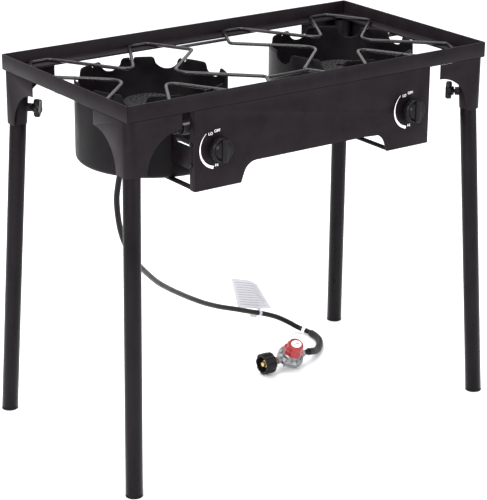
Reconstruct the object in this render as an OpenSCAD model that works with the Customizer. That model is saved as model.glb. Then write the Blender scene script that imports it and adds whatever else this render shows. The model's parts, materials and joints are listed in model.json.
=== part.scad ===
// Two-burner propane stand: angle-iron top frame on four splayed legs, two burners in
// wind shields, a control panel with two valves, and a hose with a regulator.
// Millimetres. +Z is up, +X runs along the long side, the controls face -Y.
// The origin is on the floor under the middle of the frame.

/* [Top frame] */
// Length of the top frame, outside
frame_l = 813; // [805:1:825]
// Depth of the top frame, outside
frame_d = 436; // [432:1:446]
// Height of the rim's top edge above the floor
frame_h = 726; // [700:1:760]
// Height of the rim's upright leg
rim_h = 30; // [29:0.5:31]
// Width of the ledge inside the rim
ledge_w = 30; // [26:1:32]

/* [Legs] */
// Outer diameter of the leg tubes
leg_d = 32; // [30:0.5:33]
// How far the feet stand out past the frame's long ends
foot_out_x = 4; // [0:1:8]
// How far the feet stand out past the frame's front and back
foot_out_y = 12; // [8:1:16]
// Length of each corner bracket's arms
bracket_arm = 112; // [100:1:115]
// Height of the corner brackets
bracket_h = 101; // [95:1:104]

/* [Burners] */
// Distance between the two burner centres
burner_pitch = 442; // [438:1:444]
// Outer diameter of the wind shields
shield_d = 282; // [270:1:284]
// Height of the wind shields, lobes included
shield_h = 154; // [148:1:156]
// Diameter of the cast burner heads
head_d = 114; // [100:1:120]

/* [Controls] */
// Width of the front panel
panel_w = 537; // [530:1:545]
// Height of the front panel at its ends
panel_h = 148; // [140:1:150]
// Outer diameter of the control knobs
knob_d = 46; // [40:1:47]
// Outer diameter of the gas hose
hose_d = 11; // [9:0.5:11]

/* [Hidden] */
$fn = 48;

// Sheet and bar thicknesses
rim_t = 3;
ledge_t = 4;
sheet_t = 2;
slip = 0.3;      // gap between parts that slide past each other
thread_gap = 0.05; // radial clearance of a stud or stem in its hole

// Levels
ledge_bottom = frame_h - rim_h;
wire_r = 3.5;
wire_z = ledge_bottom + ledge_t + wire_r;
bracket_bottom = ledge_bottom - bracket_h;
shield_top = ledge_bottom + 10;
shield_bottom = shield_top - shield_h;
valve_z = frame_h - 104;
manifold_z = valve_z + 33;
manifold_y = -frame_d / 2 + 38;
manifold_r = 10.65;
manifold_l = 492;
panel_back = -frame_d / 2 + sheet_t;
burner_x = burner_pitch / 2;
burner_y = -6;
screw_drop = 100; // thumb screws below the rim's top

// Legs: axis from a point at the bracket's bottom to the foot
socket_inset = 19.3;
socket_wall = 1.2;
bracket_t = 1.5;
leg_r = leg_d / 2;
socket_r = leg_r + slip + socket_wall;
bracket_round = 18;
leg_top_z = ledge_bottom - 6;
foot_t = 3;
leg_high = [frame_l / 2 - socket_inset, frame_d / 2 - socket_inset, bracket_bottom];
leg_foot = [frame_l / 2 + foot_out_x, frame_d / 2 + foot_out_y, 0];
leg_run = leg_high - leg_foot;
leg_len = norm(leg_run);
leg_lean = acos(leg_run.z / leg_len);
leg_turn = atan2(leg_run.y, leg_run.x);
leg_tube_l = leg_len * (leg_top_z / bracket_bottom);
screw_z = frame_h - screw_drop;
screw_at = leg_foot + leg_run * (screw_z / leg_run.z);

// Hose route: out of the manifold, down behind the front left leg, across under the
// frame, round a loop on the floor and into the regulator
hose_r = hose_d / 2;
hose_route = [
  [-303, -180, 659], [-318, -180, 659], [-332, -176, 655], [-343, -166, 645],
  [-352, -151, 628], [-358, -135, 603], [-361, -120, 574], [-360, -109, 544],
  [-357, -100, 518], [-348, -90, 478], [-331, -75, 436], [-305, -57, 395],
  [-268, -30, 354], [-225, 5, 315], [-182, 38, 279], [-138, 70, 247],
  [-92, 100, 216], [-42, 130, 184], [8, 155, 154], [62, 178, 126],
  [112, 194, 104], [160, 207, 83], [206, 217, 64], [246, 223, 45],
  [277, 222, 26], [294, 214, 14], [303, 199, 9.5], [307, 181, 8],
  [304, 159, 8], [296, 137, 8.5], [281, 116, 9], [263, 98, 11],
  [244, 84, 15], [228, 75, 21], [214, 70, 25], [201, 68, 26]
];
sleeve_start = 27; // route point where the thick sleeve begins

// Regulator: gas runs along X at this place, the knob's axis leans to the front
reg_at = [166, 68, 26];
reg_lean = 30;

// Straight rod between two points
module rod(a, b, r) {
  run = b - a;
  turn = atan2(run.y, run.x);
  lean = acos(run.z / norm(run));
  translate(a) rotate([0, lean, turn]) cylinder(h = norm(run), r = r);
}

// Points of an arc in the plane
function arc(c, r, from, to, steps) =
  [for (i = [0:steps]) c + r * [cos(from + (to - from) * i / steps), sin(from + (to - from) * i / steps)]];

// Mirrors a front right part into any corner
module corner(sx, sy) {
  mirror([sx < 0 ? 1 : 0, 0, 0]) mirror([0, sy < 0 ? 1 : 0, 0]) children();
}

// ---- Top frame ----

// Angle rail with mitred ends, its outer face on y = 0, running inwards to +Y
module rail(len) {
  linear_extrude(ledge_t)
    polygon([[-len / 2, 0], [len / 2, 0], [len / 2 - ledge_w, ledge_w], [ledge_w - len / 2, ledge_w]]);
  linear_extrude(rim_h)
    polygon([[-len / 2, 0], [len / 2, 0], [len / 2 - rim_t, rim_t], [rim_t - len / 2, rim_t]]);
}
module front_rail() { color("#2d292d") translate([0, -frame_d / 2, ledge_bottom]) rail(frame_l); }
module rear_rail() {
  color("#2d292d") rotate([0, 0, 180]) translate([0, -frame_d / 2, ledge_bottom]) rail(frame_l);
}
module left_rail() {
  color("#2d292d") rotate([0, 0, -90]) translate([0, -frame_l / 2, ledge_bottom]) rail(frame_d);
}
module right_rail() {
  color("#2d292d") rotate([0, 0, 90]) translate([0, -frame_l / 2, ledge_bottom]) rail(frame_d);
}

// ---- Corner brackets ----

// Square quadrant with a rounded outer corner at the origin
module quadrant(size, r) {
  translate([r, 0]) square([size - r, size]);
  translate([0, r]) square([size, size - r]);
  translate([r, r]) circle(r);
}

// Bent sheet in a corner frame: outer corner at the origin, arms along +X and +Y
module bracket_sheet() {
  sweep_r = bracket_h * 0.72;
  difference() {
    linear_extrude(bracket_h) difference() {
      quadrant(bracket_arm, bracket_round);
      translate([bracket_t, bracket_t]) quadrant(bracket_arm, bracket_round - bracket_t);
    }
    translate([bracket_arm, 30, 0]) rotate([90, 0, 0]) cylinder(h = 40, r = sweep_r);
    translate([-10, bracket_arm, 0]) rotate([0, 90, 0]) cylinder(h = 40, r = sweep_r);
  }
}

module leg_axis() { translate(leg_foot) rotate([0, leg_lean, leg_turn]) children(); }

// Axis of the thumb screw, pointing from the leg's middle to the frame's middle
module screw_axis() { translate(screw_at) rotate([0, 90, 225]) children(); }

module bracket_corner() {
  translate([frame_l / 2, frame_d / 2, bracket_bottom]) rotate([0, 0, 180]) bracket_sheet();
}
module corner_bracket(sx, sy) { color("#2d292d") corner(sx, sy) bracket_corner(); }
module corner_bracket_fl() { corner_bracket(-1, -1); }
module corner_bracket_fr() { corner_bracket(1, -1); }
module corner_bracket_bl() { corner_bracket(-1, 1); }
module corner_bracket_br() { corner_bracket(1, 1); }

// Tubes that hold the legs, each with a threaded boss for its thumb screw
boss_r = 8;
boss_end = 25;
stud_r = 4;
socket_l = bracket_h - 2;
module leg_socket() {
  difference() {
    union() {
      leg_axis() translate([0, 0, leg_len + 0.6]) cylinder(h = socket_l, r = socket_r);
      screw_axis() cylinder(h = boss_end, r = boss_r);
    }
    leg_axis() translate([0, 0, leg_len - 9]) cylinder(h = socket_l + 20, r = leg_r + slip);
    screw_axis() cylinder(h = boss_end + 1, r = stud_r + thread_gap);
  }
}
module leg_sockets() {
  color("#2d292d") for (sx = [-1, 1]) for (sy = [-1, 1]) corner(sx, sy) leg_socket();
}

// ---- Legs ----

leg_bore_r = leg_r - 1.5;
leg_start = 4.2; // leg tube's lower end, just above the foot plug's flange
module leg(sx, sy) {
  color("#262226") corner(sx, sy) leg_axis() translate([0, 0, leg_start]) difference() {
    cylinder(h = leg_tube_l - leg_start, r = leg_r);
    translate([0, 0, -1]) cylinder(h = leg_tube_l, r = leg_bore_r);
  }
}
module leg_fl() { leg(-1, -1); }
module leg_fr() { leg(1, -1); }
module leg_bl() { leg(-1, 1); }
module leg_br() { leg(1, 1); }

plug_h = 12;
module foot_plug(sx, sy) {
  color("#1b1a1c") translate([sx * leg_foot.x, sy * leg_foot.y, 0]) {
    cylinder(h = foot_t - 0.2, r = leg_r);
    cylinder(h = plug_h, r = leg_bore_r - 1);
  }
}
module foot_plug_fl() { foot_plug(-1, -1); }
module foot_plug_fr() { foot_plug(1, -1); }
module foot_plug_bl() { foot_plug(-1, 1); }
module foot_plug_br() { foot_plug(1, 1); }

// Star-headed clamping screw
star_at = 31;
star_t = 12;
star_r = 18.5;
star_lobes = 5;
module thumb_screw(sx, sy) {
  color("#161516") corner(sx, sy) screw_axis() {
    translate([0, 0, leg_r + slip]) cylinder(h = star_at - leg_r, r = stud_r);
    translate([0, 0, star_at - 4]) cylinder(h = 5, r = 8);
    translate([0, 0, star_at]) difference() {
      cylinder(h = star_t, r = star_r);
      for (i = [1:star_lobes]) rotate([0, 0, i * 360 / star_lobes])
        translate([21, 0, -1]) cylinder(h = star_t + 2, r = 8);
    }
  }
}
module thumb_screw_fl() { thumb_screw(-1, -1); }
module thumb_screw_fr() { thumb_screw(1, -1); }
module thumb_screw_bl() { thumb_screw(-1, 1); }
module thumb_screw_br() { thumb_screw(1, 1); }

// ---- Front panel ----

raise_h = 37;       // how far the middle of the lower edge is raised
raise_foot_x = 168; // where each slope meets the lower edge
slope_a = 70;
raise_r = 28;
flange_d = 16;
stem_hole_r = 9;

// Raised opening under the middle of the panel, its lower edge on y = 0
module panel_notch() {
  foot = [raise_foot_x, 0];
  n = [-sin(slope_a), -cos(slope_a)];
  lift = (raise_h - raise_r - n.y * raise_r) / sin(slope_a);
  centre = foot + lift * [-cos(slope_a), sin(slope_a)] + n * raise_r;
  right = concat([foot + [0.4, -1]], arc(centre, raise_r, 90 - slope_a, 90, 8));
  polygon(concat(right, [for (i = [len(right) - 1:-1:0]) [-right[i].x, right[i].y]]));
}
module front_panel() {
  panel_bottom = ledge_bottom - panel_h;
  color("#2f2a30") translate([0, -frame_d / 2, panel_bottom]) {
    difference() {
      translate([0, sheet_t, 0]) rotate([90, 0, 0]) linear_extrude(sheet_t) difference() {
        translate([-panel_w / 2, 0]) square([panel_w, panel_h]);
        panel_notch();
        for (s = [-1, 1]) translate([s * burner_x, valve_z - panel_bottom]) circle(stem_hole_r);
      }
    }
    for (s = [-1, 1]) difference() {
      translate([s > 0 ? panel_w / 2 - sheet_t : -panel_w / 2, 0, 0]) cube([sheet_t, flange_d, panel_h]);
      for (z = screw_levels) translate([s * panel_w / 2 - 5, screw_back, z - panel_bottom])
        rotate([0, 90, 0]) cylinder(h = 10, r = 2);
    }
    translate([-panel_w / 2, 0, panel_h - sheet_t]) cube([panel_w, flange_d + sheet_t, sheet_t]);
  }
}

// Screws that hold the shield straps to the panel's side flanges
screw_levels = [595, 632];
screw_back = 11;
module pan_screw(head_r, shank_r, shank_l) {
  cylinder(h = 2.2, r = head_r);
  translate([0, 0, -shank_l]) cylinder(h = shank_l, r = shank_r);
}
module panel_screws() {
  color("#3a383b") for (s = [-1, 1])
    translate([s * (panel_w / 2), 0, 0]) rotate([0, s * 90, 0]) for (z = screw_levels)
      translate([-s * z, -frame_d / 2 + screw_back, 0]) pan_screw(3.6, 1.9, 1.9);
}

// Printed scale round each knob: a crescent that widens from low to high, and three marks
dial_r = 38;
dial_t = 0.3;
dial_low = 128;
dial_high = 257;
dial_steps = 16;
function dial_a(i) = dial_low + (dial_high - dial_low) * i / dial_steps;
module dial(s) {
  translate([s * burner_x, -frame_d / 2, valve_z]) rotate([90, 0, 0]) linear_extrude(dial_t) {
    polygon(concat(
      [for (i = [0:dial_steps]) dial_r * [cos(dial_a(i)), sin(dial_a(i))]],
      [for (i = [dial_steps:-1:0]) (dial_r - 0.8 - 4.5 * i / dial_steps) * [cos(dial_a(i)), sin(dial_a(i))]]
    ));
    for (a = [90, 117, 268]) rotate([0, 0, a]) translate([32, 0]) square([5, 6], center = true);
  }
}
module dial_marks() { color("#f2f2f2") for (s = [-1, 1]) dial(s); }

// ---- Wind shields ----

shield_r = shield_d / 2;
shield_lip = 34;
notch_r = 26;
notch_depth = 22;
window_low = 34;
window_high = 118;
grate_out_x = 177;
grate_end_y = 210;
tip_r = 52;

// Corners of a quarter of the grate's rod, from the side tip to the rear tip
quarter = [[tip_r, 0], [grate_out_x, 120], [130, grate_end_y], [90, grate_end_y], [0, tip_r]];

module wind_shield(s) {
  bend = 10;
  color("#1c1a1d") translate([s * burner_x, burner_y, 0]) difference() {
    translate([0, 0, shield_bottom]) rotate_extrude() difference() {
      union() {
        translate([shield_r - sheet_t, bend]) square([sheet_t, shield_h - bend]);
        translate([shield_r - shield_lip, 0]) square([shield_lip - bend, sheet_t]);
        intersection() {
          translate([shield_r - bend, bend]) difference() { circle(bend); circle(bend - sheet_t); }
          translate([shield_r - bend, 0]) square(bend);
        }
      }
    }
    for (i = [0:7]) rotate([0, 0, i * 45])
      translate([shield_r - 20, 0, shield_top - notch_depth + notch_r])
        rotate([0, 90, 0]) cylinder(h = 40, r = notch_r);
    translate([0, -burner_y, 0]) for (mx = [0, 1]) mirror([mx, 0, 0]) for (my = [0, 1]) mirror([0, my, 0]) {
      wire_groove(quarter[0], quarter[1]);
      wire_groove(quarter[4], quarter[3]);
    }
    translate([-43, -shield_r - 5, shield_bottom + window_low])
      cube([86, 60, window_high - window_low]);
  }
}
// Slot in the shield's top edge where a grate rod lies
module wire_groove(a, b) {
  run = b - a;
  groove_r = wire_r + 1;
  rod([a.x, a.y, wire_z], [b.x, b.y, wire_z], groove_r);
  translate([a.x, a.y, wire_z]) rotate([0, 0, atan2(run.y, run.x)])
    translate([0, -groove_r, 0]) cube([norm(run), 2 * groove_r, 20]);
}
module wind_shield_left() { wind_shield(-1); }
module wind_shield_right() { wind_shield(1); }

// Side plate and the two flat bars under a shield, and the tab that ties it to the side ledge
strap_x = panel_w / 2 - sheet_t;
plate_low = 585;
plate_high = 640;
module shield_straps(s) {
  under = shield_bottom - 4;
  plate_back = burner_y - sqrt(pow(shield_r, 2) - pow(strap_x - burner_x, 2));
  inner_x = 2 * burner_x - strap_x;
  color("#242125") mirror([s < 0 ? 1 : 0, 0, 0]) {
    difference() {
      translate([strap_x - sheet_t, panel_back, plate_low])
        cube([sheet_t, plate_back - panel_back, plate_high - plate_low]);
      translate([strap_x - 5, panel_back + 16, 627]) cube([10, 46, 7]);
    }
    translate([strap_x - 12, panel_back, under]) cube([12, 320, 4]);
    translate([inner_x - 6, panel_back, under]) cube([12, 320, 4]);
    translate([inner_x - 6, panel_back, under + 4]) cube([12, 3, 14]);
    translate([burner_x + shield_r, burner_y + 24, shield_top - 13])
      cube([frame_l / 2 - 5 - burner_x - shield_r, 16, 3]);
  }
}
module shield_straps_left() { shield_straps(-1); }
module shield_straps_right() { shield_straps(1); }

// ---- Burners ----

tube_r = 15;
tube_bore_r = 10.5;
tube_mouth = -158;
head_top = 662;
head_bottom = 640;
stem_bottom = 606;
bar_t = 3;
module burner_crossbar(s) {
  reach = shield_r - sheet_t;
  color("#2a272b") translate([s * burner_x, burner_y, 0]) difference() {
    intersection() {
      union() {
        translate([-reach, -13, stem_bottom - bar_t]) cube([2 * reach, 26, bar_t]);
        for (m = [-1, 1]) translate([m > 0 ? reach - 5 : -reach, -13, stem_bottom - bar_t]) cube([5, 26, 18]);
      }
      translate([0, 0, stem_bottom - 10]) cylinder(h = 40, r = reach - 0.1);
    }
    translate([0, 0, stem_bottom - 10]) cylinder(h = 20, r = 4.2);
  }
}
module burner_crossbar_left() { burner_crossbar(-1); }
module burner_crossbar_right() { burner_crossbar(1); }

// Cast head with two stepped rings of ports, on a stem with a mixing tube to the front
module burner_head(s) {
  r = head_d / 2;
  port_r = 2.1;
  color("#26262a") translate([s * burner_x, burner_y, 0]) difference() {
    union() {
      rotate_extrude() polygon([
        [0, head_bottom - 8], [22, head_bottom - 8], [r - 8, head_bottom], [r, head_bottom + 6],
        [r, head_top - 8], [r - 6, head_top - 3], [r - 16, head_top], [0, head_top]
      ]);
      translate([0, 0, stem_bottom]) cylinder(h = head_bottom - stem_bottom, r = 19);
      rod([0, 0, valve_z], [0, tube_mouth - burner_y, valve_z], tube_r);
    }
    rod([0, -12, valve_z], [0, tube_mouth - burner_y - 1, valve_z], tube_bore_r);
    translate([0, 0, stem_bottom - 1]) cylinder(h = 12, r = 3.4);
    translate([0, 0, head_top - 5]) cylinder(h = 6, r = 9);
    for (ring = [[18, 12], [28, 20], [38, 28]])
      for (i = [1:ring[1]])
        rotate([0, 0, i * 360 / ring[1]]) translate([ring[0], 0, head_top - 6])
          cylinder(h = 8, r = port_r, $fn = 16);
  }
}
module burner_head_left() { burner_head(-1); }
module burner_head_right() { burner_head(1); }

// Bolts up through the crossbars into the burners' stems
module burner_bolts() {
  color("#8b8d90") for (s = [-1, 1]) translate([s * burner_x, burner_y, stem_bottom - bar_t - 5]) {
    cylinder(h = 5, r = 6.5, $fn = 6);
    cylinder(h = 17, r = 3.3);
  }
}

// Slotted disc that turns on the end of the mixing tube
shutter_t = 2;
module air_shutter(s) {
  color("#9a9ca0") translate([s * burner_x, tube_mouth - slip, valve_z]) rotate([90, 0, 0]) difference() {
    union() {
      cylinder(h = shutter_t, r = 19);
      translate([-3, 17, 0]) cube([6, 8, shutter_t]);
    }
    translate([0, 0, -1]) cylinder(h = 5, r = 5.3);
    for (a = [0, 120, 240]) rotate([0, 0, a]) translate([9.5, 0, -1]) cylinder(h = 5, r = 2.8);
  }
}
module air_shutter_left() { air_shutter(-1); }
module air_shutter_right() { air_shutter(1); }

// ---- Gas train ----

manifold_end = -manifold_l / 2 - 26;
module manifold_pipe() {
  color("#3c3a3e") difference() {
    rod([manifold_end, manifold_y, manifold_z], [-manifold_end - 26, manifold_y, manifold_z], manifold_r);
    rod([manifold_end - 1, manifold_y, manifold_z], [-manifold_end - 34, manifold_y, manifold_z], 7.9);
  }
}
module manifold_clips() {
  color("#2a272b") for (x = [-130, 130]) translate([x - 7, manifold_y, manifold_z]) {
    rotate([0, 90, 0]) difference() {
      cylinder(h = 14, r = 13);
      translate([0, 0, -1]) cylinder(h = 16, r = manifold_r + thread_gap);
    }
    translate([0, -1, 12]) cube([14, 2, ledge_bottom - sheet_t - manifold_z - 12]);
    translate([0, -frame_d / 2 + 8 - manifold_y, ledge_bottom - sheet_t - manifold_z - 2])
      cube([14, manifold_y + frame_d / 2 - 7, 2]);
  }
}
module manifold_end_cap() {
  color("#3c3a3e") translate([-manifold_end - 26 + 0.1, manifold_y, manifold_z]) rotate([0, 90, 0])
    cylinder(h = 9, r = 13, $fn = 8);
}

valve_front = -206;
valve_back = -178;
module valve_body(s) {
  color("#a8aaad") translate([s * burner_x, 0, valve_z]) difference() {
    union() {
      translate([-12, valve_front, -12]) cube([24, valve_back - valve_front, 24]);
      rod([0, valve_front + 1, 0], [0, panel_back + 0.5, 0], 8);
      translate([0, manifold_y, 0]) cylinder(h = manifold_z - valve_z - manifold_r, r = 8);
    }
    rod([0, valve_front + 18, 0], [0, panel_back - 2, 0], stud_r + thread_gap);
    rod([0, valve_back - 6, 0], [0, valve_back + 1, 0], 4.5);
    rod([0, valve_back, 0], [0, valve_back + 10, 0], 6.6);
  }
}
module valve_body_left() { valve_body(-1); }
module valve_body_right() { valve_body(1); }

// Brass jet that screws into the valve's outlet and points into the mixing tube
module gas_orifice(s) {
  color("#b08d4a") translate([s * burner_x, 0, valve_z]) {
    rod([0, valve_back - 5.5, 0], [0, valve_back, 0], 4.45);
    translate([0, valve_back, 0]) rotate([-90, 0, 0]) cylinder(h = 7, r = 6.2, $fn = 6);
    rod([0, valve_back + 7, 0], [0, tube_mouth + 4, 0], 3.8);
  }
}
module gas_orifice_left() { gas_orifice(-1); }
module gas_orifice_right() { gas_orifice(1); }

knob_front = -frame_d / 2 - 28;
knob_back = -frame_d / 2 - 1.5;
module valve_stem(s) {
  color("#b9bbbf") translate([s * burner_x, 0, valve_z])
    rod([0, valve_front + 17, 0], [0, knob_front + 10, 0], stud_r);
}
module valve_stem_left() { valve_stem(-1); }
module valve_stem_right() { valve_stem(1); }

knob_r = knob_d / 2;
grip_w = 13;
module control_knob(s) {
  neck_t = 7;
  skirt_t = 12;
  color("#19181a") translate([s * burner_x, knob_back, valve_z]) rotate([90, 0, 0]) difference() {
    union() {
      cylinder(h = neck_t + 1, r = 12);
      translate([0, 0, neck_t]) cylinder(h = skirt_t, r1 = knob_r, r2 = knob_r - 1.5);
      intersection() {
        translate([-grip_w / 2, -knob_r, neck_t + 1]) cube([grip_w, 2 * knob_r, knob_back - knob_front - neck_t - 1]);
        cylinder(h = 40, r = knob_r - 2);
      }
    }
    translate([0, 0, -1]) cylinder(h = knob_back - knob_front - 9 + 1, r = stud_r + thread_gap);
  }
}
module control_knob_left() { control_knob(-1); }
module control_knob_right() { control_knob(1); }

// ---- Grates ----

// Closed bent rod that lies on the ledges, with four tips over the burner
bend_trim = 9; // length of rod that each outer bend takes from its two straight sides
tip_trim = 34; // the same for the four tips
bend_steps = 4;
function flip(p, sx, sy) = [sx * p.x, sy * p.y, 0];
grate_loop = concat(
  [for (i = [0:3]) flip(quarter[i], 1, 1)],
  [for (i = [4:-1:1]) flip(quarter[i], -1, 1)],
  [for (i = [0:3]) flip(quarter[i], -1, -1)],
  [for (i = [4:-1:1]) flip(quarter[i], 1, -1)]
);
// One bend: a smooth curve from just before a corner to just after it
function bend(a, p, b) =
  let (trim = p.x * p.y == 0 ? tip_trim : bend_trim, from = p + unit(a - p) * trim, to = p + unit(b - p) * trim)
  [for (i = [0:bend_steps]) let (t = i / bend_steps)
    from * pow(1 - t, 2) + p * 2 * t * (1 - t) + to * pow(t, 2)];
function bent(loop) =
  let (n = len(loop)) [for (i = [0:n - 1]) each bend(loop[(i + n - 1) % n], loop[i], loop[(i + 1) % n])];
module swept_loop(p, r, sides) {
  n = len(p);
  rings = [for (i = [0:n - 1])
    let (t = unit(p[(i + 1) % n] - p[(i + n - 1) % n])) ring(p[i], [0, 0, 1], cross(t, [0, 0, 1]), r, sides)];
  walls = [for (i = [0:n - 1]) for (k = [0:sides - 1])
    [i * sides + k, (i + 1) % n * sides + k,
     (i + 1) % n * sides + (k + 1) % sides, i * sides + (k + 1) % sides]];
  polyhedron(points = [for (g = rings) each g], faces = walls);
}
module grate(s) {
  color("#3b3a3e") translate([s * burner_x, 0, wire_z]) swept_loop(bent(grate_loop), wire_r, 10);
}
module grate_left() { grate(-1); }
module grate_right() { grate(1); }

link_rear_y = 150;
link_front_y = -128;
function side_x(y) = burner_x - (grate_out_x - (grate_out_x - 130) * (abs(y) - 120) / (grate_end_y - 120));
module grate_link_rods() {
  color("#343236") for (y = [link_rear_y, link_front_y])
    rod([-side_x(y), y, wire_z], [side_x(y), y, wire_z], wire_r - 0.3);
}

// ---- Hose ----

function unit(v) = v / norm(v);
// Route with one smooth point added between each pair
function mid(p, i) =
  (9 * (p[i] + p[i + 1]) - p[max(i - 1, 0)] - p[min(i + 2, len(p) - 1)]) / 16;
function smooth(p) = concat([for (i = [0:len(p) - 2]) each [p[i], mid(p, i)]], [p[len(p) - 1]]);
function tangent(p, i) = unit(p[min(i + 1, len(p) - 1)] - p[max(i - 1, 0)]);
// Side direction carried along the route without twist
function carry(p, i) =
  i == 0 ? [0, 0, 1] :
  let (n = carry(p, i - 1), t = tangent(p, i)) unit(n - (n * t) * t);
function ring(c, n, b, r, sides) =
  [for (k = [0:sides - 1]) c + r * (cos(k * 360 / sides) * n + sin(k * 360 / sides) * b)];
module swept_tube(p, r, sides) {
  rings = [for (i = [0:len(p) - 1])
    let (n = carry(p, i)) ring(p[i], n, cross(tangent(p, i), n), r, sides)];
  last = len(p) - 1;
  walls = [for (i = [0:last - 1]) for (k = [0:sides - 1])
    [i * sides + k, (i + 1) * sides + k, (i + 1) * sides + (k + 1) % sides, i * sides + (k + 1) % sides]];
  start_cap = [[for (k = [0:sides - 1]) k]];
  end_cap = [[for (k = [sides - 1:-1:0]) last * sides + k]];
  polyhedron(points = [for (g = rings) each g], faces = concat(walls, start_cap, end_cap));
}
module hose() { color("#1a191b") swept_tube(smooth(hose_route), hose_r, 10); }
module hose_sleeve() {
  sleeve_route = [for (i = [sleeve_start:len(hose_route) - 2]) hose_route[i]];
  color("#232224") swept_tube(smooth(sleeve_route), hose_r + 2, 10);
}

// Swivel nut and barb at the manifold's end
module hose_swivel_fitting() {
  color("#2b2a2c") translate([manifold_end - 0.1, manifold_y, manifold_z + 4]) rotate([0, -90, 0]) {
    cylinder(h = 16, r = 11, $fn = 6);
    cylinder(h = 303 - 272 - 0.2, r = hose_r + 2.5);
  }
}

// Cable tie round the hose where the sleeve starts
module hose_tie() {
  at = hose_route[sleeve_start - 1];
  run = tangent(hose_route, sleeve_start - 1);
  color("#e9e9e7") translate(at) rotate([0, acos(run.z), atan2(run.y, run.x)]) {
    difference() {
      cylinder(h = 7, r = hose_r + 1.8, center = true);
      cylinder(h = 8, r = hose_r + 0.1, center = true);
    }
    translate([-hose_r - 4.5, -3, -2.5]) cube([4, 6, 5]);
  }
}

// Stiff paper flag folded round the hose
tag_at = hose_route[22] + (hose_route[21] - hose_route[22]) * 0.33;
module hose_tag() {
  color("#e6e4e8") translate(tag_at) rotate([0, 0, -36]) translate([0, 0.4, 0]) rotate([90, 0, 0])
    linear_extrude(0.8) polygon([[-46, 11], [0, 9.5], [28, 9], [-2, 65], [-17, 73], [-62, 79]]);
}

// ---- Regulator and tank connection ----

// Local frame: gas along X, the knob's axis on +Z leaning to the front
module reg() { translate(reg_at) rotate([reg_lean, 0, 0]) children(); }

reg_r = 28;
module regulator_body() {
  color("#a9abad") reg() {
    rotate_extrude() polygon([
      [0, -15], [15, -15], [20, -11], [22, -5], [reg_r, -4], [reg_r, 2], [0, 2]
    ]);
    rod([0, 0, 0], [35.5, 0, 0], 8);
    rod([-35, 0, 0], [0, 0, 0], 8);
  }
}
module regulator_bonnet() {
  color("#b4b6b9") reg() difference() {
    rotate_extrude() polygon([
      [0, 2.1], [reg_r - 0.5, 2.1], [reg_r - 0.5, 6], [22, 8], [20, 14], [17, 17], [0, 17]
    ]);
    rod([-40, 0, 0], [40, 0, 0], 8.1);
  }
}
reg_knob_r = 22;
module regulator_knob() {
  color("#b1202c") reg() translate([0, 0, 17 + slip]) {
    cylinder(h = 25, r1 = reg_knob_r - 1, r2 = reg_knob_r - 6);
    for (i = [1:8]) rotate([0, 0, i * 45]) translate([reg_knob_r - 5, 0, 0]) cylinder(h = 12, r = 5);
  }
}

nipple_end = -66;
module tank_nipple() {
  color("#b8923f") translate(reg_at) {
    rod([-35.1, 0, 0], [nipple_end + 12, 0, 0], 6);
    rod([nipple_end + 12, 0, 0], [nipple_end, 0, 0], 8);
    rod([nipple_end + 0.1, 0, 0], [nipple_end - 6, 0, 0], 5);
  }
}
nut_r = 23;
nut_l = 30;
module tank_nut() {
  color("#1d1c1e") translate(reg_at + [nipple_end - 8, 0, 0]) rotate([0, 90, 0]) difference() {
    cylinder(h = nut_l, r = nut_r);
    for (i = [1:8]) rotate([0, 0, i * 45]) translate([nut_r + 2.5, 0, -1]) cylinder(h = nut_l + 2, r = 5);
    translate([0, 0, -1]) cylinder(h = 22, r = 16.5);
    cylinder(h = nut_l + 10, r = 8.4);
  }
}

front_rail();
rear_rail();
left_rail();
right_rail();
corner_bracket_fl();
corner_bracket_fr();
corner_bracket_bl();
corner_bracket_br();
leg_sockets();
leg_fl();
leg_fr();
leg_bl();
leg_br();
foot_plug_fl();
foot_plug_fr();
foot_plug_bl();
foot_plug_br();
thumb_screw_fl();
thumb_screw_fr();
thumb_screw_bl();
thumb_screw_br();
front_panel();
panel_screws();
dial_marks();
wind_shield_left();
wind_shield_right();
shield_straps_left();
shield_straps_right();
burner_crossbar_left();
burner_crossbar_right();
burner_head_left();
burner_head_right();
burner_bolts();
air_shutter_left();
air_shutter_right();
manifold_pipe();
manifold_clips();
manifold_end_cap();
valve_body_left();
valve_body_right();
gas_orifice_left();
gas_orifice_right();
valve_stem_left();
valve_stem_right();
control_knob_left();
control_knob_right();
grate_left();
grate_right();
grate_link_rods();
hose_swivel_fitting();
hose();
hose_sleeve();
hose_tie();
hose_tag();
regulator_body();
regulator_bonnet();
regulator_knob();
tank_nipple();
tank_nut();
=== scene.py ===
import json
import math
import bmesh
import bpy
from mathutils import Matrix, Vector


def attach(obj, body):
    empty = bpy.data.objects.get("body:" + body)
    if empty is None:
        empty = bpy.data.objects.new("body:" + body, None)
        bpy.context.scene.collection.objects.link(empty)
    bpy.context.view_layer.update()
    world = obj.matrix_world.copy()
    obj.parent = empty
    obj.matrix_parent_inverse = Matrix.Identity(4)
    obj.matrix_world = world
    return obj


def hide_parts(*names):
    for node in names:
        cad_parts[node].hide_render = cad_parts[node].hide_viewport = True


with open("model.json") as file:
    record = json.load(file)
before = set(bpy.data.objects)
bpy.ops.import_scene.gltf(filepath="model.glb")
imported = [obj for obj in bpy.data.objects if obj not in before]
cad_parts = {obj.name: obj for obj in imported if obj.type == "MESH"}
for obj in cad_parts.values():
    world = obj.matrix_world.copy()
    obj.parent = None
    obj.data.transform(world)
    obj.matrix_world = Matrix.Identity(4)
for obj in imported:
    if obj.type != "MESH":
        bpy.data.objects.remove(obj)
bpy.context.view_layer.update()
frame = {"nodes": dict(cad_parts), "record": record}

# Sizes of the CAD model that the finer pieces repeat, in metres
BURNER_X = 0.221
BURNER_Y = -0.006
SHIELD_R = 0.141
SHIELD_TOP = 0.706
SHIELD_BOTTOM = 0.552
WIRE_R = 0.0035
WIRE_Z = 0.7035
VALVE_Z = 0.622
PANEL_Y = -0.218
REG_AT = Vector((0.166, 0.068, 0.026))
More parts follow.
